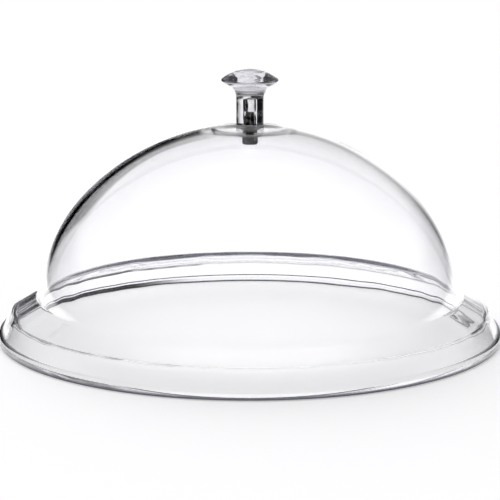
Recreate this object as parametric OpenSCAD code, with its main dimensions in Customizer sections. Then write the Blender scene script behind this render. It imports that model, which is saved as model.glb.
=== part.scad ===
// Clear buffet cover: a one-piece domed shell with a stepped rim, and a solid clear knob
// that one cap screw holds through the flat seat on the dome's crown.
// Origin: centre of the circle that the rim rests on, +Z up along the dome's axis.

/* [Rim] */
// Overall diameter at the rim
rim_d = 330; // [324:1:350]
// Height of the rim's lip above the table
lip_h = 6.2; // [4:0.1:9]
// Rounding of the lip's outer edge
lip_round = 2.4; // [1:0.1:3.6]
// Height of the flange's upper edge, where the ledge ends
flange_z = 18; // [15:0.5:21]
// How far the rim stands out past the ledge
flange_w = 8.75; // [6:0.25:14]
// Width of the flat ring that rests on the table
foot_w = 4; // [3:0.5:6]

/* [Ledge] */
// How far the ledge steps out from the upright dome wall
ledge_w = 15.25; // [12:0.25:20]
// Height of the ledge where it leaves the dome wall
ledge_z = 26.9; // [24:0.1:30]
// Rounding of the ledge's outer edge
ledge_round = 2; // [1:0.1:3.5]
// Rounding of the same edge inside the shell
ledge_inner_round = 0.8; // [0.4:0.1:2]
// Rounding of the hollow where the ledge leaves the dome
crease_round = 2; // [1:0.1:4]

/* [Dome] */
// Wall thickness of the moulded shell
wall = 4; // [2.5:0.1:5]
// Height at which the dome wall would stand upright
haunch_z = 11.4; // [6:0.2:16]
// Height of the crown before its seat is cut flat
dome_h = 138.7; // [136:0.1:160]
// Steepness of the spot where the haunch runs into the crown, in degrees from the upright
dome_tangent = 46; // [40:0.5:52]

/* [Knob seat] */
// Diameter of the flat seat on the crown
seat_d = 54; // [40:1:70]
// Height of the step at the seat's edge
seat_step = 0.8; // [0.3:0.1:1.5]

/* [Knob] */
// Height of the knob from its base to its top
knob_h = 36.2; // [32:0.1:50]
// Diameter of the knob's stem
stem_d = 17.8; // [15:0.1:22]
// Diameter of the knob's head
head_d = 37; // [32:0.5:44]
// Height of the head's top over its widest line
head_top_h = 7.2; // [5:0.1:10]
// Depth of the head's underside below its widest line, carried on to the axis
head_under_h = 7; // [5:0.1:9]
// Rounding of the head's edge
head_edge_round = 1.2; // [0.6:0.1:2.5]
// Radius of the hollow flare between the stem and the head
neck_round = 9.6; // [6:0.1:11]
// Depth of the screw hole in the knob
knob_hole_depth = 17; // [12:0.5:20]

/* [Screw] */
// Thread diameter of the cap screw
screw_d = 6; // [4:0.5:7]
// Length of the screw under its head
screw_len = 16; // [14:1:20]
// Diameter of the screw's head
screw_head_d = 10; // [9:0.5:13]
// Height of the screw's head
screw_head_h = 6; // [4.5:0.5:8]
// Rounding of the head's lower edge
screw_head_round = 1; // [0.4:0.1:1.5]
// Bevel of the screw's end
screw_tip = 0.7; // [0.3:0.1:1]
// Width of the hexagon socket across its flats
socket_w = 5; // [3:0.5:6]
// Depth of the hexagon socket
socket_depth = 3; // [2:0.5:3.5]

/* [Washers] */
// Diameter of the soft gasket under the knob
gasket_d = 18; // [14:0.5:24]
// Thickness of the soft gasket
gasket_t = 2; // [1:0.1:3]
// Diameter of the nylon washer under the screw's head
washer_d = 12.5; // [11:0.5:18]
// Thickness of the nylon washer
washer_t = 1.6; // [0.8:0.1:2.5]

/* [Hidden] */

// Play between the screw and each hole that it passes through, on the radius
screw_play = 0.1;
// Play between the screw and the knob's tapped hole, on the radius
thread_play = 0.05;
// Length by which a cut runs past the face that it starts from
over = 1;
// Depth by which an edge runs into the round that it only touches
meld = 0.001;
// Facets round a full circle
facets = 180;
// Cone angle of a drilled hole's blind end, between its wall and the axis
drill_point = 59;

rim_r = rim_d / 2;
lip_r = rim_r - lip_round;
foot_r = rim_r - foot_w;
ledge_r = rim_r - flange_w;
dome_r = ledge_r - ledge_w;
seat_r = seat_d / 2;

// The ledge is a cone that falls from the dome wall to ledge_end, and the flange is a steeper one
// from there to the lip. Drawing both in moves the edge between them along edge_shares.
ledge_end = [ledge_r, flange_z];
ledge_slope = atan2(ledge_z - flange_z, ledge_w);
ledge_up = [sin(ledge_slope), cos(ledge_slope)];
ledge_out = [cos(ledge_slope), -sin(ledge_slope)];
flange_slope = atan2(flange_z - lip_h, lip_r - ledge_r);
flange_up = [sin(flange_slope), cos(flange_slope)];
edge_shares = (ledge_up + flange_up) / (1 + ledge_up * flange_up);

// The dome is two arcs with the same slope where they meet: the haunch, which stands upright at
// haunch_z, and the crown, which turns about a point on the axis. Both radii follow from that.
haunch_rise = dome_h - haunch_z;
crown_lag = 1 - sin(dome_tangent);
haunch_lag = 1 - cos(dome_tangent);
arc_share = 1 - crown_lag - haunch_lag;
haunch_round = (haunch_rise * cos(dome_tangent) - dome_r * crown_lag) / arc_share;
crown_round = (dome_r * sin(dome_tangent) - haunch_rise * haunch_lag) / arc_share;
haunch_c = [dome_r - haunch_round, haunch_z];
crown_c = [0, dome_h - crown_round];

// The larger of the two arcs ends where they meet, and the smaller lies within it.
crown_larger = crown_round > haunch_round;
large_c = crown_larger ? crown_c : haunch_c;
large_round = max(crown_round, haunch_round);
large_from = toward(crown_larger ? dome_tangent : -dome_tangent);
large_to = crown_larger ? [0, 1] : toward(dome_tangent);
small_c = crown_larger ? haunch_c : crown_c;
small_round = min(crown_round, haunch_round);

// The hollow of the crease turns about crease_c, and touches the ledge and the haunch.
crease_base = ledge_end + crease_round * ledge_up;
crease_arm = crease_base - haunch_c;
crease_run = crease_arm * ledge_out;
crease_reach = haunch_round + crease_round;
crease_shift = sqrt(pow(crease_reach, 2) + pow(crease_run, 2) - crease_arm * crease_arm);
crease_c = crease_base + (crease_shift - crease_run) * ledge_out;

// The pieces stack on the flat seat along the axis.
seat_z = crown_c[1] + sqrt(pow(crown_round, 2) - pow(seat_r, 2)) + seat_step;
knob_z = seat_z + gasket_t;
washer_z = seat_z - wall - washer_t;
screw_z = washer_z - screw_head_h;
screw_hole_r = screw_d / 2 + screw_play;
knob_hole_r = screw_d / 2 + thread_play;

// The knob's head is two spheres about points on the axis, joined by a round edge.
stem_r = stem_d / 2;
head_edge_c = [head_d / 2 - head_edge_round, knob_z + knob_h - head_top_h];
head_top_round = cap_round(head_edge_c[0], head_top_h, head_edge_round);
head_under_round = cap_round(head_edge_c[0], head_under_h, head_edge_round);
head_top_c = [0, head_edge_c[1] + head_top_h - head_top_round];
head_under_c = [0, head_edge_c[1] - head_under_h + head_under_round];
head_top_a = atan2(head_edge_c[1] - head_top_c[1], head_edge_c[0]);
head_under_a = atan2(head_edge_c[1] - head_under_c[1], head_edge_c[0]);

// The flare touches both the stem and the underside of the head.
neck_reach = stem_r + neck_round;
neck_c = [
    neck_reach,
    head_under_c[1] - sqrt(pow(head_under_round + neck_round, 2) - pow(neck_reach, 2))
];

// Radius of a cap of a given height that runs smoothly into an edge of a given rounding
function cap_round(edge_r, cap_h, edge_round) =
    (pow(edge_r, 2) + pow(cap_h, 2) - pow(edge_round, 2)) / (2 * (cap_h - edge_round));

// Direction at an angle from the horizontal
function toward(angle) = [cos(angle), sin(angle)];

// Disc about a centre
module disc(centre, radius) {
    translate(centre) circle(radius, $fn = facets);
}

// Rectangle that starts on the axis
module band(radius, low, high) {
    translate([0, low]) square([radius, high - low]);
}

// Half section of the dome, drawn in from its outside by inset and cut flat at top_z
module dome_section(inset, top_z) {
    reach = 2 * large_round;
    intersection() {
        union() {
            intersection() {
                disc(large_c, large_round - inset);
                polygon([large_c, large_c + reach * large_from, large_c + reach * large_to]);
            }
            disc(small_c, small_round - inset + meld);
            band(dome_r - inset, -over, haunch_z);
        }
        band(dome_r, -over, top_z);
    }
}

// Half section of the ledge and the flange, drawn in from their outside by inset
module step_section(inset, edge_round) {
    edge_c = ledge_end - (inset + edge_round) * edge_shares;
    ledge_edge = edge_c + (edge_round - meld) * ledge_up;
    flange_edge = edge_c + (edge_round - meld) * flange_up;
    polygon([
        [0, -over],
        [flange_edge[0] + (flange_edge[1] + over) / tan(flange_slope), -over],
        flange_edge,
        ledge_edge,
        [0, ledge_edge[1] + ledge_edge[0] * tan(ledge_slope)]
    ]);
    disc(edge_c, edge_round);
}

// Half section of the crease between the dome and the ledge, drawn in from its outside by inset
module crease_section(inset) {
    depth = crease_round + inset + over;
    to_dome = depth * (haunch_c - crease_c) / crease_reach;
    to_ledge = -depth * ledge_up;
    difference() {
        polygon([crease_c, crease_c + to_dome, crease_c + to_dome + to_ledge, crease_c + to_ledge]);
        disc(crease_c, crease_round + inset + 2 * meld);
    }
}

// Half section of the lip, with its rounded outer edge
module lip_section() {
    band(rim_r, -over, lip_h - lip_round);
    disc([lip_r, lip_h - lip_round], lip_round);
}

// Everything that lies within the outside of the shell
module shell_outside() {
    dome_section(0, seat_z);
    band(seat_r, 0, seat_z);
    crease_section(0);
    intersection() {
        step_section(0, ledge_round);
        band(lip_r, -over, seat_z);
    }
    lip_section();
}

// Everything that lies within the hollow of the shell
module shell_hollow() {
    dome_section(wall, seat_z - wall);
    crease_section(wall);
    intersection() {
        step_section(wall, ledge_inner_round);
        band(foot_r, -over, seat_z);
    }
}

// Clear moulded cover: dome, ledge, flange and lip in one wall, with one hole for the screw
module dome_shell() {
    color("aliceblue", 0.4)
    rotate_extrude($fn = facets)
    difference() {
        intersection() {
            shell_outside();
            band(rim_r, 0, seat_z);
        }
        shell_hollow();
        band(screw_hole_r, 0, seat_z + over);
    }
}

// Half section of the knob's head: a lens with a round edge
module head_section() {
    top_end = head_edge_c + head_edge_round * toward(head_top_a);
    under_end = head_edge_c + head_edge_round * toward(head_under_a);
    intersection() {
        disc(head_top_c, head_top_round);
        disc(head_under_c, head_under_round);
        polygon([
            [0, head_edge_c[1] - head_under_h - over],
            [under_end[0], head_edge_c[1] - head_under_h - over],
            under_end,
            top_end,
            [top_end[0], head_edge_c[1] + head_top_h + over],
            [0, head_edge_c[1] + head_top_h + over]
        ]);
    }
    disc(head_edge_c, head_edge_round + meld);
}

// Half section of the hollow flare under the head
module neck_section() {
    neck_share = (head_under_c[1] - head_edge_c[1]) / (head_under_c[1] - neck_c[1]);
    difference() {
        polygon([
            [0, neck_c[1]],
            neck_c,
            [neck_reach * neck_share, head_edge_c[1]],
            [0, head_edge_c[1]]
        ]);
        disc(neck_c, neck_round + meld);
    }
}

// Solid clear knob: a lens-shaped head that flares down into a round stem
module knob() {
    hole_end_z = knob_z + knob_hole_depth;
    color("aliceblue", 0.5)
    difference() {
        rotate_extrude($fn = facets) {
            band(stem_r, knob_z, head_edge_c[1]);
            neck_section();
            head_section();
        }
        translate([0, 0, knob_z - over])
        cylinder(knob_hole_depth + over, r = knob_hole_r, $fn = facets);
        translate([0, 0, hole_end_z])
        cylinder(knob_hole_r / tan(drill_point), r1 = knob_hole_r, r2 = 0, $fn = facets);
    }
}

// Flat ring about the screw
module ring(low, thickness, outer_d) {
    translate([0, 0, low])
    difference() {
        cylinder(thickness, d = outer_d, $fn = facets);
        translate([0, 0, -over])
        cylinder(thickness + 2 * over, r = screw_hole_r, $fn = facets);
    }
}

// Soft gasket between the knob and the seat
module knob_gasket() {
    color("white", 0.7) ring(seat_z, gasket_t, gasket_d);
}

// Nylon washer between the shell and the screw's head
module screw_washer() {
    color("ghostwhite", 0.7) ring(washer_z, washer_t, washer_d);
}

// Dark cap screw with a hexagon socket, its head below the crown
module knob_screw() {
    head_r = screw_head_d / 2;
    round_c = [head_r - screw_head_round, screw_z + screw_head_round];
    tip_z = washer_z + screw_len;
    color("dimgray")
    difference() {
        rotate_extrude($fn = facets) {
            band(round_c[0], screw_z, washer_z);
            band(head_r, round_c[1], washer_z);
            disc(round_c, screw_head_round);
            polygon([
                [0, screw_z],
                [screw_d / 2, screw_z],
                [screw_d / 2, tip_z - screw_tip],
                [screw_d / 2 - screw_tip, tip_z],
                [0, tip_z]
            ]);
        }
        translate([0, 0, screw_z - over])
        cylinder(socket_depth + over, d = socket_w / cos(30), $fn = 6);
    }
}

dome_shell();
knob();
knob_gasket();
screw_washer();
knob_screw();
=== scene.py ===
"""Looks of a clear buffet cover: a moulded dome with a solid knob, held by one cap screw.

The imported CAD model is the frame. Each piece here follows the profile of its solid, with finer
edges, and stands for that solid. Profiles are in millimetres, and new_piece makes them metres.
"""

import math

import bpy
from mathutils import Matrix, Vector


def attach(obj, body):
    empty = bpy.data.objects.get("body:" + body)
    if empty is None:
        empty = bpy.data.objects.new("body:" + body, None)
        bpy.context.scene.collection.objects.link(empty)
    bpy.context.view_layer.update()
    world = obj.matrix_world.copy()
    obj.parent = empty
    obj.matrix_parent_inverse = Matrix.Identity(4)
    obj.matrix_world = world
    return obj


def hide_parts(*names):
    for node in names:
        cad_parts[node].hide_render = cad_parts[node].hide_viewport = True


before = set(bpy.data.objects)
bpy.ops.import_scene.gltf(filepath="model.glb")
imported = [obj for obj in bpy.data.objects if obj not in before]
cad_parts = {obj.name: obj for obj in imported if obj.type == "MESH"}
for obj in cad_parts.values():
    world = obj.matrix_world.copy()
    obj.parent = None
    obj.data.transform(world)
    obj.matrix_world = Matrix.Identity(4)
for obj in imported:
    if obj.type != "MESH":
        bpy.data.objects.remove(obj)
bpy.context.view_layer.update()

MM = 0.001

# Shell, in millimetres, as in the part's source
RIM_R = 165.0
LIP_H = 6.2
LIP_ROUND = 2.4
FLANGE_Z = 18.0
FLANGE_W = 8.75
FOOT_W = 4.0
LEDGE_W = 15.25
LEDGE_Z = 26.9
CREASE_ROUND = 2.0
WALL = 4.0
HAUNCH_Z = 11.4
DOME_H = 138.7
DOME_TANGENT = 46.0
SEAT_R = 27.0
SEAT_STEP = 0.8
HOLE_R = 3.1

# Knob, as in the part's source
KNOB_H = 36.2
STEM_R = 8.9
HEAD_R = 18.5
HEAD_TOP_H = 7.2
HEAD_UNDER_H = 7.0
HEAD_EDGE_ROUND = 1.2
NECK_ROUND = 9.6
KNOB_HOLE_R = 3.05
KNOB_HOLE_DEPTH = 17.0
DRILL_POINT = 59.0

# Screw and rings, as in the part's source
SCREW_R = 3.0
SCREW_LEN = 16.0
SCREW_TIP = 0.7
SCREW_HEAD_R = 5.0
SCREW_HEAD_H = 6.0
SCREW_HEAD_ROUND = 1.0
SOCKET_W = 5.0
SOCKET_DEPTH = 3.0
GASKET_R = 9.0
GASKET_T = 2.0
WASHER_R = 6.25
WASHER_T = 1.6

# Forms of the scene's own, in millimetres
EDGE_ROUND = 0.35
RIM_FOOT_ROUND = 0.9
LEDGE_ROUND = 0.4
LEDGE_INNER_ROUND = 12.0
SEAT_SOFT = 5.0
SEAT_PULL = 3.3
GASKET_EDGE = 0.4
WASHER_EDGE = 0.25
SEAM_GAP = 0.02
THREAD_PITCH = 1.0
THREAD_DEPTH = 0.55
THREAD_CREST = 1.25
KNURLS = 24
KNURL_DEPTH = 0.4
SCREW_BEVEL = 0.3
SOCKET_BEVEL = 0.25
SOCKET_POINT = 0.8
SOCKET_SECTOR = 60.0

# Wavering of the inside wall: each wave has a count round the wall, a start and a share
WAVER = 0.3
WAVER_TOP = 60.0
WAVES = ((5, 0.3, 0.9), (11, 1.9, 0.7), (19, 4.4, 0.5), (31, 2.7, 0.35), (47, 5.6, 0.25))

# Fineness of the meshes: steps round the axis, degrees a step in an arc, pieces of a line
SHELL_STEPS = 320
KNOB_STEPS = 160
RING_STEPS = 96
SHANK_STEPS = 48
KNURL_STEPS = 6
PITCH_ROWS = 10
ARC_STEP = 1.5
DOME_STEP = 0.9
ROUND_STEP = 6.0
FINE_STEP = 4.0
KNOB_EDGE_STEP = 7.0
NECK_STEP = 3.0
SCREW_ROUND_STEP = 10.0
LONG_LINE = 8
SHORT_LINE = 6
POINT_LINE = 5
ON_AXIS = 1e-9
SHARP_ANGLE = math.radians(14)

# Acrylic, with heights in metres and density by the metre
ACRYLIC_IOR = 1.49
ACRYLIC_HAZE = (0.0, 0.02)
DEPTH_COLOUR = (0.0, 0.0, 0.12)
DEPTH_DENSITY = 10.0
# Painted shade: the rim's foot is darkened up to these heights, standing in for the dark lines that
# reflections draw on the rim
FOOT_SHADE_REACH = (0.0018, 0.0008)
FOOT_SHADE_COLOUR = (0.09, 0.09, 0.12)
WHITE = (1.0, 1.0, 1.0)

# Colour sockets of a Mix node, which has a set of the same names for each kind of data
MIX_FIRST = 6
MIX_SECOND = 7
MIX_RESULT = 2

# Camera, placed as in the photograph
CAMERA_PLACE = (0.0, -1.3523, 0.3352)
CAMERA_AIM = (0.0, 0.0, 0.0561)
CAMERA_LENS = 151.6
CAMERA_SENSOR = 36.0
CAMERA_FAR = 100.0

# Floor, in millimetres
FLOOR_HALF = 14000.0
FLOOR_GAP = 0.15

# Floor's looks, with pairs for where a change starts and ends, in metres or as sines to the side
FLOOR_GRAIN = 40.0
FLOOR_COLOURS = ((0.79, 0.785, 0.805), (0.81, 0.805, 0.825))
FLOOR_ROUGHNESS = 0.9
FLOOR_GLOW = 0.35
CLEAR_GLOW = 0.63
FLAG_BACK = (0.0, 1.35, 0.0)
FLAG_NEAR = (0.57, 0.8)
FLOOR_SIDES = (-0.1, -0.115, 0.16, 0.5)
FLOOR_FAR = (0.8, 1.0)
FAR_SIDES = (-0.42, -0.6, 0.75, 0.9)
DIM_COLOUR = (0.01, 0.01, 0.01)

# Sky, with pairs for where a change starts and ends, as parts of a direction
UP = (0, 0, 1)
BACK = (0, 1, 0)
SKY_SIDES = (-0.03, -0.09, 0.22, 0.5)
SIDES_LOW = (0.34, 0.16)
SKY_LEVEL = 0.45
BACK_LOW = (0.2, 0.1)
BACK_LEVEL = 0.7
FRONT_EDGE = (0.1, -0.3)
FRONT_TOP = (1.0, 0.85)
FRONT_DIM = 0.9
TOP_REACH = (0.35, 0.6)
TOP_DIM = 0.2
OVERHEAD_REACH = (0.82, 0.94)
OVERHEAD_LEVEL = 0.7

# Light for matt surfaces
PLAIN_LEVEL = 0.3
LIGHT_WAY = (-0.2, 0.6, 0.8)
LIGHT_REACH = (0.6, 0.95)
LIGHT_LEVEL = 1.7

# Rays
CAMERA_RAYS = ("Is Camera Ray",)
CLEAR_RAYS = ("Is Glossy Ray", "Is Transmission Ray")
MATT_DEPTH = 0.5
GLOSS_BOUNCES = 32
CLEAR_BOUNCES = 32


def turn(angle):
    """Direction in a profile at an angle in degrees: 0 points away from the axis, 90 up."""
    return math.cos(math.radians(angle)), math.sin(math.radians(angle))


def along(point, direction, length):
    """The point that lies a length from another in a direction."""
    return point[0] + length * direction[0], point[1] + length * direction[1]


def angle_of(centre, point):
    """Angle in degrees at which a point is seen from a centre."""
    return math.degrees(math.atan2(point[1] - centre[1], point[0] - centre[0]))


def arc(centre, radius, start, end, step=ARC_STEP):
    """Points on an arc, from one angle to another in degrees."""
    count = max(2, math.ceil(abs(end - start) / step))
    steps = [start + (end - start) * i / count for i in range(count + 1)]
    return [along(centre, turn(angle), radius) for angle in steps]


def line(start, end, pieces):
    """Points on a straight line, closer together near its ends."""
    shares = [0.5 - 0.5 * math.cos(math.pi * i / pieces) for i in range(pieces + 1)]
    return [
        (start[0] + (end[0] - start[0]) * s, start[1] + (end[1] - start[1]) * s)
        for s in shares
    ]


def softened(before, corner, after, radius=EDGE_ROUND, pieces=5):
    """A rounded corner between two straight edges."""
    a = Vector(before) - Vector(corner)
    b = Vector(after) - Vector(corner)
    start = Vector(corner) + a.normalized() * radius
    end = Vector(corner) + b.normalized() * radius
    points = []
    for i in range(pieces + 1):
        t = i / pieces
        point = start * (1 - t) ** 2 + Vector(corner) * 2 * t * (1 - t) + end * t**2
        points.append((point.x, point.y))
    return points


def blend(start, start_way, end, end_way, pull, pieces=10):
    """A smooth curve that leaves one point and meets another in given directions."""
    near, far = along(start, start_way, pull), along(end, end_way, -pull)
    knots = (start, near, far, end)
    points = []
    for i in range(pieces + 1):
        t = i / pieces
        shares = ((1 - t) ** 3, 3 * t * (1 - t) ** 2, 3 * t**2 * (1 - t), t**3)
        points.append(tuple(sum(s * k[j] for s, k in zip(shares, knots)) for j in (0, 1)))
    return points


class Shell:
    """Places on the shell's profile, as radius and height, and the angles and radii between them."""

    # Rim, ledge and flange
    lip_r = RIM_R - LIP_ROUND
    lip_c = (lip_r, LIP_H - LIP_ROUND)
    foot_r = RIM_R - FOOT_W
    rim_foot = (RIM_R, 0.0)
    foot_edge = (foot_r, 0.0)
    ledge_r = RIM_R - FLANGE_W
    dome_r = ledge_r - LEDGE_W
    ledge_end = (ledge_r, FLANGE_Z)
    ledge_fall = math.degrees(math.atan2(LEDGE_Z - FLANGE_Z, LEDGE_W))
    flange_fall = math.degrees(math.atan2(FLANGE_Z - LIP_H, lip_r - ledge_r))
    ledge_a = 90 - ledge_fall
    flange_a = 90 - flange_fall
    up = turn(ledge_a)
    out = turn(-ledge_fall)
    flange_up = turn(flange_a)

    # Edge between ledge and flange, where a step along edge_way leaves both faces by the same length
    turn_share = 1 + up[0] * flange_up[0] + up[1] * flange_up[1]
    edge_way = ((up[0] + flange_up[0]) / turn_share, (up[1] + flange_up[1]) / turn_share)
    edge_c = along(ledge_end, edge_way, -LEDGE_ROUND)
    edge_inner_c = along(ledge_end, edge_way, -WALL - LEDGE_INNER_ROUND)
    inner_edge = along(edge_inner_c, flange_up, LEDGE_INNER_ROUND)
    inner_drop = (foot_r - inner_edge[0]) * math.tan(math.radians(flange_fall))
    cone_foot = (foot_r, inner_edge[1] - inner_drop)

    # Crown and haunch, two arcs that run into each other at DOME_TANGENT
    rise = DOME_H - HAUNCH_Z
    tangent = turn(DOME_TANGENT)
    arc_share = tangent[0] + tangent[1] - 1
    haunch_round = (rise * tangent[0] - dome_r * (1 - tangent[1])) / arc_share
    crown_round = (dome_r * tangent[1] - rise * (1 - tangent[0])) / arc_share
    haunch_c = (dome_r - haunch_round, HAUNCH_Z)
    crown_c = (0.0, DOME_H - crown_round)

    # Crease, a round that touches both the haunch and the ledge
    base = along(ledge_end, up, CREASE_ROUND)
    arm = (base[0] - haunch_c[0], base[1] - haunch_c[1])
    run = arm[0] * out[0] + arm[1] * out[1]
    reach = haunch_round + CREASE_ROUND
    shift = math.sqrt(reach**2 + run**2 - arm[0] ** 2 - arm[1] ** 2) - run
    crease_c = along(base, out, shift)
    crease_a = angle_of(haunch_c, crease_c)

    # Seat and the hole through it
    seat_z = crown_c[1] + math.sqrt(crown_round**2 - SEAT_R**2) + SEAT_STEP
    under_z = seat_z - WALL
    hole_top = (HOLE_R, seat_z)
    hole_under = (HOLE_R, under_z)


KNOB_Z = Shell.seat_z + GASKET_T
WASHER_Z = Shell.under_z - WASHER_T
SCREW_Z = WASHER_Z - SCREW_HEAD_H
SCREW_TIP_Z = WASHER_Z + SCREW_LEN


def shell_outside():
    """Outside of the shell, from the hole's upper edge to the foot of the rim."""
    s = Shell
    seat_edge = (SEAT_R - SEAT_SOFT, s.seat_z)
    seat_out = SEAT_R + SEAT_SOFT
    seat_foot = (seat_out, s.crown_c[1] + math.sqrt(s.crown_round**2 - seat_out**2))
    crown_a = angle_of(s.crown_c, seat_foot)
    edge = arc(s.edge_c, LEDGE_ROUND, s.ledge_a, s.flange_a, FINE_STEP)

    points = softened(s.hole_under, s.hole_top, seat_edge)
    points += blend(seat_edge, turn(0), seat_foot, turn(crown_a - 90), SEAT_PULL)[:-1]
    points += arc(s.crown_c, s.crown_round, crown_a, DOME_TANGENT, DOME_STEP)
    points += arc(s.haunch_c, s.haunch_round, DOME_TANGENT, s.crease_a, DOME_STEP)[1:]
    points += arc(s.crease_c, CREASE_ROUND, 180 + s.crease_a, 180 + s.ledge_a, ROUND_STEP)[1:]
    points += line(points[-1], edge[0], SHORT_LINE)[1:-1]
    points += edge
    points += line(edge[-1], (s.lip_r, LIP_H), LONG_LINE)[1:]
    points += arc(s.lip_c, LIP_ROUND, 90, 0, ROUND_STEP)[1:]
    points += softened((RIM_R, s.lip_c[1]), s.rim_foot, s.foot_edge, RIM_FOOT_ROUND)
    return points


def shell_inside():
    """Inside of the shell, from the foot of the rim to the hole's lower edge."""
    s = Shell
    crease_round = CREASE_ROUND + WALL
    crease_end = along(s.crease_c, s.up, -crease_round)
    flat_r = math.sqrt((s.crown_round - WALL) ** 2 - (s.under_z - s.crown_c[1]) ** 2)
    flat_edge = (flat_r, s.under_z)
    flat_a = angle_of(s.crown_c, flat_edge)

    points = softened(s.rim_foot, s.foot_edge, s.cone_foot)
    points += line(s.cone_foot, s.inner_edge, LONG_LINE)
    points += arc(s.edge_inner_c, LEDGE_INNER_ROUND, s.flange_a, s.ledge_a, ROUND_STEP)[1:]
    points += line(points[-1], crease_end, SHORT_LINE)[1:]
    points += arc(s.crease_c, crease_round, 180 + s.ledge_a, 180 + s.crease_a, FINE_STEP)[1:]
    points += arc(s.haunch_c, s.haunch_round - WALL, s.crease_a, DOME_TANGENT, DOME_STEP)[1:]
    points += arc(s.crown_c, s.crown_round - WALL, DOME_TANGENT, flat_a, DOME_STEP)[1:]
    points += softened(flat_edge, s.hole_under, s.hole_top)
    return points


def cap_round(edge_r, cap_h):
    """Radius of a cap that runs smoothly into the knob's round edge."""
    span = edge_r**2 + cap_h**2 - HEAD_EDGE_ROUND**2
    return span / (2 * (cap_h - HEAD_EDGE_ROUND))


def knob_profile():
    """Profile of the knob, from the top of its head to the end of its blind hole."""
    edge_c = (HEAD_R - HEAD_EDGE_ROUND, KNOB_Z + KNOB_H - HEAD_TOP_H)
    top_round = cap_round(edge_c[0], HEAD_TOP_H)
    under_round = cap_round(edge_c[0], HEAD_UNDER_H)
    top_c = (0.0, edge_c[1] + HEAD_TOP_H - top_round)
    under_c = (0.0, edge_c[1] - HEAD_UNDER_H + under_round)
    neck_r = STEM_R + NECK_ROUND
    neck_drop = math.sqrt((under_round + NECK_ROUND) ** 2 - neck_r**2)
    neck_c = (neck_r, under_c[1] - neck_drop)
    top_a = angle_of(top_c, edge_c)
    under_a = angle_of(under_c, edge_c)
    neck_a = angle_of(neck_c, under_c)
    stem_top = (STEM_R, neck_c[1])
    stem_foot = (STEM_R, KNOB_Z + SEAM_GAP)
    mouth = (KNOB_HOLE_R, stem_foot[1])
    hole_end = (KNOB_HOLE_R, KNOB_Z + KNOB_HOLE_DEPTH)
    point_h = KNOB_HOLE_R / math.tan(math.radians(DRILL_POINT))

    points = arc(top_c, top_round, 90, top_a)
    points += arc(edge_c, HEAD_EDGE_ROUND, top_a, under_a, KNOB_EDGE_STEP)[1:]
    points += arc(under_c, under_round, under_a, neck_a - 180)[1:]
    points += arc(neck_c, NECK_ROUND, neck_a, 180, NECK_STEP)[1:]
    points += line(stem_top, (STEM_R, stem_foot[1] + EDGE_ROUND), LONG_LINE)[1:-1]
    points += softened(stem_top, stem_foot, mouth)
    points += softened(stem_foot, mouth, hole_end)
    points += line((KNOB_HOLE_R, mouth[1] + EDGE_ROUND), hole_end, LONG_LINE)[1:]
    points += line(hole_end, (0.0, hole_end[1] + point_h), POINT_LINE)[1:]
    return points


def ring_profile(low, high, inner, outer, edge):
    """Closed profile of a flat ring with soft edges."""
    square = [(inner, low), (inner, high), (outer, high), (outer, low)]
    points = []
    for i, corner in enumerate(square):
        after = square[(i + 1) % len(square)]
        points += softened(square[i - 1], corner, after, edge)
    return points


def new_piece(name, vertices, faces):
    """A smooth-shaded mesh in metres, from points in millimetres."""
    mesh = bpy.data.meshes.new(name)
    mesh.from_pydata([Vector(v) * MM for v in vertices], [], faces)
    mesh.validate()
    mesh.shade_smooth()
    mesh.set_sharp_from_angle(angle=SHARP_ANGLE)
    piece = bpy.data.objects.new(name, mesh)
    bpy.context.scene.collection.objects.link(piece)
    return piece


def angles(count):
    """Angles of a number of even steps round the axis."""
    return [math.tau * i / count for i in range(count)]


def around(radius, angle, height):
    """Point at a radius, an angle round the axis and a height."""
    return radius * math.cos(angle), radius * math.sin(angle), height


def skin(rows, steps, closed):
    """Faces between rows of points, where a row of one point is a tip on the axis."""
    pairs = list(zip(rows, rows[1:]))
    if closed:
        pairs.append((rows[-1], rows[0]))
    faces = []
    for a, b in pairs:
        for i in range(steps):
            j = (i + 1) % steps
            ring = [a[i % len(a)], b[i % len(b)], b[j % len(b)], a[j % len(a)]]
            faces.append(list(dict.fromkeys(ring)))
    return faces


def waver(height, angle):
    """Slow rise and fall of the wall's inside low on the dome, as the mould left it."""
    share = max(0.0, 1 - height / WAVER_TOP) * min(1.0, max(0.0, height / LIP_H - 1))
    return WAVER * share * sum(part * math.sin(count * angle + start) for count, start, part in WAVES)


def turned(name, profile, steps, closed, wavy_from=None):
    """A piece turned about the axis. A closed profile goes round a hole; an open one ends on the axis.

    Rows from wavy_from on rise and fall by waver.
    """
    vertices, rows = [], []
    for k, (radius, height) in enumerate(profile):
        count = 1 if radius < ON_AXIS else steps
        wavy = wavy_from is not None and k >= wavy_from
        rows.append(range(len(vertices), len(vertices) + count))
        for angle in angles(count):
            rise = waver(height, angle) if wavy else 0.0
            vertices.append(around(radius, angle, height + rise))
    return new_piece(name, vertices, skin(rows, steps, closed))


def thread_radius(height, angle):
    """Outside of the thread at a height and an angle."""
    turns = (height - WASHER_Z) / THREAD_PITCH - angle / math.tau
    ridge = 1 - abs(2 * (turns % 1) - 1)
    return SCREW_R - THREAD_DEPTH * (1 - min(1.0, ridge * THREAD_CREST))


def screw_shank():
    """Points and faces of the threaded shank, with a bevelled end."""
    rows = int(SCREW_LEN / THREAD_PITCH) * PITCH_ROWS
    steps = SHANK_STEPS
    vertices = []
    for k in range(rows + 1):
        height = WASHER_Z + SCREW_LEN * k / rows
        left = SCREW_TIP_Z - height
        most = SCREW_R - max(0.0, SCREW_TIP - left)
        for angle in angles(steps):
            vertices.append(around(min(most, thread_radius(height, angle)), angle, height))
    faces = []
    for k in range(rows):
        a, b = k * steps, (k + 1) * steps
        for i in range(steps):
            j = (i + 1) % steps
            faces.append([a + i, a + j, b + j, b + i])
    faces.append(list(range(rows * steps, (rows + 1) * steps)))
    faces.append(list(reversed(range(steps))))
    return vertices, faces


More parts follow.
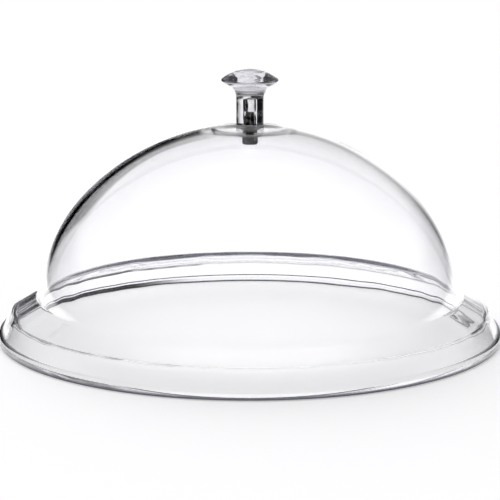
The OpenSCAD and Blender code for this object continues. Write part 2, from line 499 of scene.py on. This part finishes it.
def socket_radius(angle):
    """Wall of the hexagon socket at an angle."""
    half = SOCKET_SECTOR / 2
    sector = (math.degrees(angle) + half) % SOCKET_SECTOR - half
    return SOCKET_W / 2 / math.cos(math.radians(sector))


def screw_head():
    """Points and faces of the knurled head, with a round lower edge and a hexagon socket."""
    steps = KNURLS * KNURL_STEPS
    round_c = (SCREW_HEAD_R - SCREW_HEAD_ROUND, SCREW_Z + SCREW_HEAD_ROUND)
    top = WASHER_Z - SEAM_GAP
    side_top = (SCREW_HEAD_R, top - 2 * SCREW_BEVEL)
    side_foot = (SCREW_HEAD_R, round_c[1] + SCREW_BEVEL)
    side = line(side_top, side_foot, SHORT_LINE)
    profile = [(0.0, top), (SCREW_R, top)]
    profile += [(SCREW_HEAD_R - SCREW_BEVEL, top), (SCREW_HEAD_R, top - SCREW_BEVEL)]
    profile += side
    profile += arc(round_c, SCREW_HEAD_ROUND, 0, -90, SCREW_ROUND_STEP)
    vertices, rows = [], []
    for radius, height in profile:
        count = 1 if radius < ON_AXIS else steps
        depth = KNURL_DEPTH if (radius, height) in side else 0.0
        rows.append(range(len(vertices), len(vertices) + count))
        for angle in angles(count):
            cut = depth * (0.5 - 0.5 * math.cos(angle * KNURLS))
            vertices.append(around(radius - cut, angle, height))
    for widening, depth in ((SOCKET_BEVEL, 0.0), (0.0, SOCKET_BEVEL), (0.0, SOCKET_DEPTH)):
        rows.append(range(len(vertices), len(vertices) + steps))
        for angle in angles(steps):
            radius = socket_radius(angle) + widening
            vertices.append(around(radius, angle, SCREW_Z + depth))
    rows.append(range(len(vertices), len(vertices) + 1))
    vertices.append((0.0, 0.0, SCREW_Z + SOCKET_DEPTH + SOCKET_POINT))
    return vertices, skin(rows, steps, closed=False)


def new_material(name):
    """A node material with its nodes and links, and the object's own coordinates."""
    material = bpy.data.materials.new(name)
    material.use_nodes = True
    nodes = material.node_tree.nodes
    coordinates = nodes.new("ShaderNodeTexCoord")
    return material, nodes, material.node_tree.links, coordinates.outputs["Object"]


def noise(nodes, links, vector, scale, detail=2.0):
    """Soft noise, from 0 to 1."""
    node = nodes.new("ShaderNodeTexNoise")
    node.inputs["Scale"].default_value = scale
    node.inputs["Detail"].default_value = detail
    links.new(vector, node.inputs["Vector"])
    return node.outputs["Fac"]


def ramp(nodes, links, value, low, high):
    """Maps a 0 to 1 value between two colours."""
    node = nodes.new("ShaderNodeValToRGB")
    node.color_ramp.elements[0].color = (*low, 1)
    node.color_ramp.elements[1].color = (*high, 1)
    links.new(value, node.inputs["Fac"])
    return node.outputs["Color"]


def spread(nodes, links, value, low, high):
    """Maps a 0 to 1 value between two numbers."""
    node = nodes.new("ShaderNodeMapRange")
    node.inputs["To Min"].default_value = low
    node.inputs["To Max"].default_value = high
    links.new(value, node.inputs["Value"])
    return node.outputs["Result"]


def smooth_step(nodes, links, value, start, end):
    """0 at the start, 1 at the end, with a soft passage between."""
    node = nodes.new("ShaderNodeMapRange")
    node.interpolation_type = "SMOOTHSTEP"
    node.inputs["From Min"].default_value = start
    node.inputs["From Max"].default_value = end
    links.new(value, node.inputs["Value"])
    return node.outputs["Result"]


def bump(nodes, links, height, distance):
    """Normal of a surface that rises by up to a distance in metres."""
    node = nodes.new("ShaderNodeBump")
    node.inputs["Distance"].default_value = distance
    links.new(height, node.inputs["Height"])
    return node.outputs["Normal"]


def combine(nodes, links, operation, first, second):
    """A math node on two values, each a socket or a number."""
    node = nodes.new("ShaderNodeMath")
    node.operation = operation
    for socket, value in zip(node.inputs, (first, second)):
        if isinstance(value, (int, float)):
            socket.default_value = value
        else:
            links.new(value, socket)
    return node.outputs["Value"]


def vector_math(nodes, links, operation, vector, fixed=(0, 0, 0)):
    """A math node on a vector and, where the operation takes one, a fixed second vector."""
    node = nodes.new("ShaderNodeVectorMath")
    node.operation = operation
    links.new(vector, node.inputs[0])
    node.inputs[1].default_value = fixed
    return node


def painted_foot_shade(nodes, links, vector, colour):
    """The colour with painted shade: darker on the foot of the rim, standing in for the dark lines that
    reflections of the dark studio draw there.
    """
    parts = nodes.new("ShaderNodeSeparateXYZ")
    links.new(vector, parts.inputs["Vector"])
    mix = nodes.new("ShaderNodeMix")
    mix.data_type = "RGBA"
    links.new(smooth_step(nodes, links, parts.outputs["Z"], *FOOT_SHADE_REACH), mix.inputs["Factor"])
    links.new(colour, mix.inputs[MIX_FIRST])
    mix.inputs[MIX_SECOND].default_value = (*FOOT_SHADE_COLOUR, 1)
    return mix.outputs[MIX_RESULT]


def clear_acrylic(name, wave_scale, wave_height, haze_scale, dark, light, shade_the_foot):
    """Polished acrylic, with the slight unevenness of a moulding, and a tint that may carry painted shade.
    """
    material, nodes, links, vector = new_material(name)
    shader = nodes["Principled BSDF"]
    shader.inputs["Transmission Weight"].default_value = 1.0
    shader.inputs["IOR"].default_value = ACRYLIC_IOR
    waves = noise(nodes, links, vector, wave_scale, detail=1.0)
    links.new(bump(nodes, links, waves, wave_height), shader.inputs["Normal"])
    haze = noise(nodes, links, vector, haze_scale)
    links.new(spread(nodes, links, haze, *ACRYLIC_HAZE), shader.inputs["Roughness"])
    colour = ramp(nodes, links, haze, dark, light)
    # Painted shade: a dark band on the foot of the rim, standing in for dark reflected lines
    if shade_the_foot:
        colour = painted_foot_shade(nodes, links, vector, colour)
    links.new(colour, shader.inputs["Base Color"])
    depth = nodes.new("ShaderNodeVolumeAbsorption")
    depth.inputs["Color"].default_value = (*DEPTH_COLOUR, 1)
    depth.inputs["Density"].default_value = DEPTH_DENSITY
    links.new(depth.outputs["Volume"], nodes["Material Output"].inputs["Volume"])
    return material


def shell_acrylic():
    """Clear wall with slow waves, and painted shade on its foot."""
    return clear_acrylic(
        "clear_shell",
        wave_scale=22.0,
        wave_height=0.0001,
        haze_scale=60.0,
        dark=(0.99, 0.99, 0.998),
        light=WHITE,
        shade_the_foot=True,
    )


def knob_acrylic():
    """Clear solid with quick waves, and an uneven grey tint that is painted shade, standing in for the dark
    reflections in the knob.
    """
    return clear_acrylic(
        "clear_knob",
        wave_scale=120.0,
        wave_height=0.0005,
        haze_scale=260.0,
        # Painted shade: the grey end of the tint darkens the knob in patches, standing in for dark
        # reflections
        dark=(0.7, 0.7, 0.71),
        light=WHITE,
        shade_the_foot=False,
    )


def grainy(name, scale, detail, roughness, dark, light, relief):
    """A material with the same fine grain in its colour, gloss and surface, and its shader."""
    material, nodes, links, vector = new_material(name)
    shader = nodes["Principled BSDF"]
    grain = noise(nodes, links, vector, scale, detail)
    links.new(spread(nodes, links, grain, *roughness), shader.inputs["Roughness"])
    links.new(ramp(nodes, links, grain, dark, light), shader.inputs["Base Color"])
    links.new(bump(nodes, links, grain, relief), shader.inputs["Normal"])
    return material, shader


def soft_silicone():
    """Milky, slightly matt rubber."""
    material, shader = grainy(
        "soft_silicone",
        scale=900.0,
        detail=2.0,
        roughness=(0.25, 0.4),
        dark=(0.86, 0.86, 0.86),
        light=(0.95, 0.95, 0.95),
        relief=0.00002,
    )
    shader.inputs["Transmission Weight"].default_value = 0.7
    shader.inputs["IOR"].default_value = 1.41
    return material


def natural_nylon():
    """Waxy, half clear moulded nylon."""
    material, shader = grainy(
        "natural_nylon",
        scale=1200.0,
        detail=2.0,
        roughness=(0.3, 0.45),
        dark=(0.87, 0.87, 0.85),
        light=(0.95, 0.95, 0.93),
        relief=0.00002,
    )
    shader.inputs["Transmission Weight"].default_value = 0.6
    shader.inputs["IOR"].default_value = 1.53
    return material


def black_oxide():
    """Oiled black oxide on steel, with fine scuffs."""
    material, shader = grainy(
        "black_oxide",
        scale=2500.0,
        detail=4.0,
        roughness=(0.3, 0.5),
        dark=(0.008, 0.008, 0.009),
        light=(0.03, 0.03, 0.032),
        relief=0.00003,
    )
    shader.inputs["Metallic"].default_value = 0.6
    return material


def dress(piece, body, node, material):
    """Makes a piece stand for its CAD node, on that node's body."""
    piece.data.materials.append(material)
    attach(piece, body)
    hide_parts(node)


def build_shell():
    """The moulded cover, whose inside wavers."""
    outside = shell_outside()
    profile = outside + shell_inside()
    shell = turned("shell", profile, SHELL_STEPS, closed=True, wavy_from=len(outside))
    dress(shell, "cover", "dome_shell", shell_acrylic())


def build_knob():
    """The solid knob with its blind hole."""
    knob = turned("clear_knob", knob_profile(), KNOB_STEPS, closed=False)
    dress(knob, "knob", "knob", knob_acrylic())


def build_gasket():
    """The soft ring between the knob and the seat."""
    low, high = Shell.seat_z + SEAM_GAP, KNOB_Z - SEAM_GAP
    profile = ring_profile(low, high, HOLE_R, GASKET_R, GASKET_EDGE)
    gasket = turned("gasket", profile, RING_STEPS, closed=True)
    dress(gasket, "knob", "knob_gasket", soft_silicone())


def build_washer():
    """The ring between the seat's underside and the screw's head."""
    low, high = WASHER_Z + SEAM_GAP, Shell.under_z - SEAM_GAP
    profile = ring_profile(low, high, HOLE_R, WASHER_R, WASHER_EDGE)
    washer = turned("washer", profile, RING_STEPS, closed=True)
    dress(washer, "knob", "screw_washer", natural_nylon())


def build_screw():
    """The cap screw, with its head and shank in one piece."""
    vertices, faces = screw_head()
    start = len(vertices)
    shank_vertices, shank_faces = screw_shank()
    faces += [[i + start for i in face] for face in shank_faces]
    screw = new_piece("cap_screw", vertices + shank_vertices, faces)
    dress(screw, "knob", "knob_screw", black_oxide())


def seen_rays(nodes, links, names):
    """1 for rays of any of the kinds named that have met no matt surface yet."""
    path = nodes.new("ShaderNodeLightPath")
    total = path.outputs[names[0]]
    for name in names[1:]:
        total = combine(nodes, links, "MAXIMUM", total, path.outputs[name])
    straight = combine(nodes, links, "LESS_THAN", path.outputs["Diffuse Depth"], MATT_DEPTH)
    return combine(nodes, links, "MULTIPLY", total, straight)


def dim_sides(nodes, links, vector, sides):
    """1 towards the dim sides of the studio, 0 towards its back and front."""
    flat = vector_math(nodes, links, "MULTIPLY", vector, (1, 1, 0))
    unit = vector_math(nodes, links, "NORMALIZE", flat.outputs["Vector"])
    parts = nodes.new("ShaderNodeSeparateXYZ")
    links.new(unit.outputs["Vector"], parts.inputs["Vector"])
    left = smooth_step(nodes, links, parts.outputs["X"], *sides[:2])
    right = smooth_step(nodes, links, parts.outputs["X"], *sides[2:])
    return combine(nodes, links, "MAXIMUM", left, right)


def floor_flags(nodes, links, vector):
    """1 on the floor's dark areas: at both sides of a line from the front, and far out at the sides."""
    distance = vector_math(nodes, links, "LENGTH", vector).outputs["Value"]
    shifted = vector_math(nodes, links, "ADD", vector, FLAG_BACK).outputs["Vector"]
    sides = dim_sides(nodes, links, shifted, FLOOR_SIDES)
    beyond = smooth_step(nodes, links, distance, *FLAG_NEAR)
    flags = combine(nodes, links, "MULTIPLY", sides, beyond)
    far_sides = dim_sides(nodes, links, vector, FAR_SIDES)
    far = smooth_step(nodes, links, distance, *FLOOR_FAR)
    far = combine(nodes, links, "MULTIPLY", far, far_sides)
    return combine(nodes, links, "MAXIMUM", flags, far)


def studio_floor():
    """Matt white that keeps the shadow and shows as white where it has none.

    Only clear surfaces show its dark areas.
    """
    material, nodes, links, vector = new_material("studio_floor")
    shader = nodes["Principled BSDF"]
    grain = noise(nodes, links, vector, FLOOR_GRAIN)
    links.new(ramp(nodes, links, grain, *FLOOR_COLOURS), shader.inputs["Base Color"])
    shader.inputs["Roughness"].default_value = FLOOR_ROUGHNESS
    shader.inputs["Specular IOR Level"].default_value = 0.0
    shader.inputs["Emission Color"].default_value = (*WHITE, 1)
    camera = seen_rays(nodes, links, CAMERA_RAYS)
    clear = seen_rays(nodes, links, CLEAR_RAYS)
    camera_glow = combine(nodes, links, "MULTIPLY", camera, FLOOR_GLOW)
    clear_glow = combine(nodes, links, "MULTIPLY", clear, CLEAR_GLOW)
    glow = combine(nodes, links, "MAXIMUM", camera_glow, clear_glow)
    links.new(glow, shader.inputs["Emission Strength"])
    dim = combine(nodes, links, "MULTIPLY", floor_flags(nodes, links, vector), clear)
    dark = nodes.new("ShaderNodeEmission")
    dark.inputs["Color"].default_value = (*DIM_COLOUR, 1)
    mix = nodes.new("ShaderNodeMixShader")
    links.new(dim, mix.inputs["Fac"])
    links.new(shader.outputs["BSDF"], mix.inputs[1])
    links.new(dark.outputs["Emission"], mix.inputs[2])
    links.new(mix.outputs["Shader"], nodes["Material Output"].inputs["Surface"])
    return material


def build_floor():
    """A broad floor just under the rim."""
    ends = (-FLOOR_HALF, FLOOR_HALF)
    vertices = [(x, y, -FLOOR_GAP) for x in ends for y in ends]
    floor = new_piece("floor", vertices, [[0, 2, 3, 1]])
    floor.data.materials.append(studio_floor())


def towards(nodes, links, vector, way, start, end):
    """How far a direction points a given way, from 0 at the start to 1 at the end."""
    node = vector_math(nodes, links, "DOT_PRODUCT", vector, Vector(way).normalized())
    return smooth_step(nodes, links, node.outputs["Value"], start, end)


def clear_sky(nodes, links, vector):
    """What clear surfaces show: a bright low back, dim low sides, a dim front and a pale patch overhead."""
    sides = dim_sides(nodes, links, vector, SKY_SIDES)
    low = towards(nodes, links, vector, UP, *SIDES_LOW)
    low_sides = combine(nodes, links, "MULTIPLY", low, sides)
    front = towards(nodes, links, vector, BACK, *FRONT_EDGE)
    under = towards(nodes, links, vector, UP, *FRONT_TOP)
    front = combine(nodes, links, "MULTIPLY", front, under)
    front = combine(nodes, links, "MULTIPLY", front, FRONT_DIM)
    dim = combine(nodes, links, "MAXIMUM", low_sides, front)
    back = towards(nodes, links, vector, UP, *BACK_LOW)
    back = combine(nodes, links, "MULTIPLY", back, combine(nodes, links, "SUBTRACT", 1.0, sides))
    back = combine(nodes, links, "MULTIPLY", back, BACK_LEVEL)
    top = towards(nodes, links, vector, UP, *TOP_REACH)
    top = combine(nodes, links, "MULTIPLY", top, TOP_DIM)
    overhead = towards(nodes, links, vector, UP, *OVERHEAD_REACH)
    overhead = combine(nodes, links, "MULTIPLY", overhead, OVERHEAD_LEVEL)
    level = combine(nodes, links, "ADD", back, SKY_LEVEL)
    level = combine(nodes, links, "SUBTRACT", level, top)
    level = combine(nodes, links, "ADD", level, overhead)
    return combine(nodes, links, "MULTIPLY", level, combine(nodes, links, "SUBTRACT", 1.0, dim))


def plain_light(nodes, links, vector):
    """What lights matt surfaces: plain light all round, and a broad soft light high at the back."""
    soft_box = towards(nodes, links, vector, LIGHT_WAY, *LIGHT_REACH)
    soft_box = combine(nodes, links, "MULTIPLY", soft_box, LIGHT_LEVEL)
    return combine(nodes, links, "ADD", soft_box, PLAIN_LEVEL)


def build_world():
    """The studio: white to the camera, patterned to clear surfaces and plain to matt ones."""
    world = bpy.data.worlds.new("studio")
    world.use_nodes = True
    bpy.context.scene.world = world
    nodes, links = world.node_tree.nodes, world.node_tree.links
    background = nodes["Background"]
    background.inputs["Color"].default_value = (*WHITE, 1)
    vector = nodes.new("ShaderNodeTexCoord").outputs["Generated"]
    clear = seen_rays(nodes, links, CLEAR_RAYS)
    matt = combine(nodes, links, "SUBTRACT", 1.0, clear)
    shown = combine(nodes, links, "MULTIPLY", clear_sky(nodes, links, vector), clear)
    lit = combine(nodes, links, "MULTIPLY", plain_light(nodes, links, vector), matt)
    level = combine(nodes, links, "ADD", shown, lit)
    level = combine(nodes, links, "MAXIMUM", level, seen_rays(nodes, links, CAMERA_RAYS))
    links.new(level, background.inputs["Strength"])


def build_camera():
    """The camera that took the photograph, as near as it can be told."""
    camera = bpy.data.cameras.new("photo_camera")
    camera.lens = CAMERA_LENS
    camera.sensor_width = CAMERA_SENSOR
    camera.clip_end = CAMERA_FAR
    holder = bpy.data.objects.new("photo_camera", camera)
    holder.location = CAMERA_PLACE
    way = Vector(CAMERA_AIM) - Vector(CAMERA_PLACE)
    holder.rotation_euler = way.to_track_quat("-Z", "Y").to_euler()
    bpy.context.scene.collection.objects.link(holder)
    bpy.context.scene.camera = holder


build_shell()
build_knob()
build_gasket()
build_washer()
build_screw()
build_floor()
build_world()
build_camera()
bpy.context.scene.view_settings.view_transform = "Standard"
bpy.context.scene.cycles.glossy_bounces = GLOSS_BOUNCES
bpy.context.scene.cycles.transmission_bounces = CLEAR_BOUNCES
bpy.context.scene.cycles.max_bounces = GLOSS_BOUNCES + CLEAR_BOUNCES
